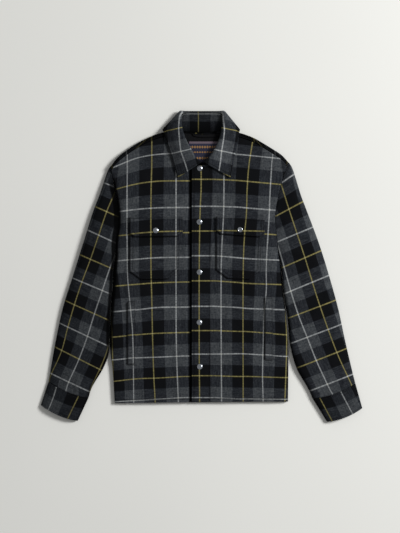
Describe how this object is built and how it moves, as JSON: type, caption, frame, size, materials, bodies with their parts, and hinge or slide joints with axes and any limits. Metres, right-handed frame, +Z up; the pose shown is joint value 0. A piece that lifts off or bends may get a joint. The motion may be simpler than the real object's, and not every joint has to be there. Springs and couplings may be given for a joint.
{
  "type": "plaid shacket",
  "caption": "Plaid wool-look overshirt with a shirt collar, snap front, two flap chest pockets and two hand pockets, laid flat on its back.",
  "frame": {"origin": "middle of the garment's outline on the surface that it lies on", "axes": "+X towards the wearer's left sleeve, +Y towards the collar, +Z up from the surface"},
  "size_m": [0.835, 0.8071, 0.0288],
  "materials": {
    "wool_plaid": "brushed twill",
    "lining_black": "satin",
    "label_weave": "woven",
    "tape_black": "matt",
    "snap_metal": "satin"
  },
  "bodies": {
    "root": {"back": "wool_plaid", "front_right": "wool_plaid", "front_left": "wool_plaid", "sleeve_right": "wool_plaid", "sleeve_left": "wool_plaid", "cuff_right": "wool_plaid", "cuff_left": "wool_plaid", "collar_stand": "wool_plaid", "collar": "wool_plaid", "pocket_right": "wool_plaid", "pocket_left": "wool_plaid", "flap_right": "wool_plaid", "flap_left": "wool_plaid", "welt_right": "wool_plaid", "welt_left": "wool_plaid", "snap_1": "snap_metal", "snap_2": "snap_metal", "snap_3": "snap_metal", "snap_4": "snap_metal", "snap_5": "snap_metal", "flap_snap_right": "snap_metal", "flap_snap_left": "snap_metal", "neck_lining": "lining_black", "neck_label": "label_weave", "hanger_loop": "tape_black"}
  },
  "joints": []
}
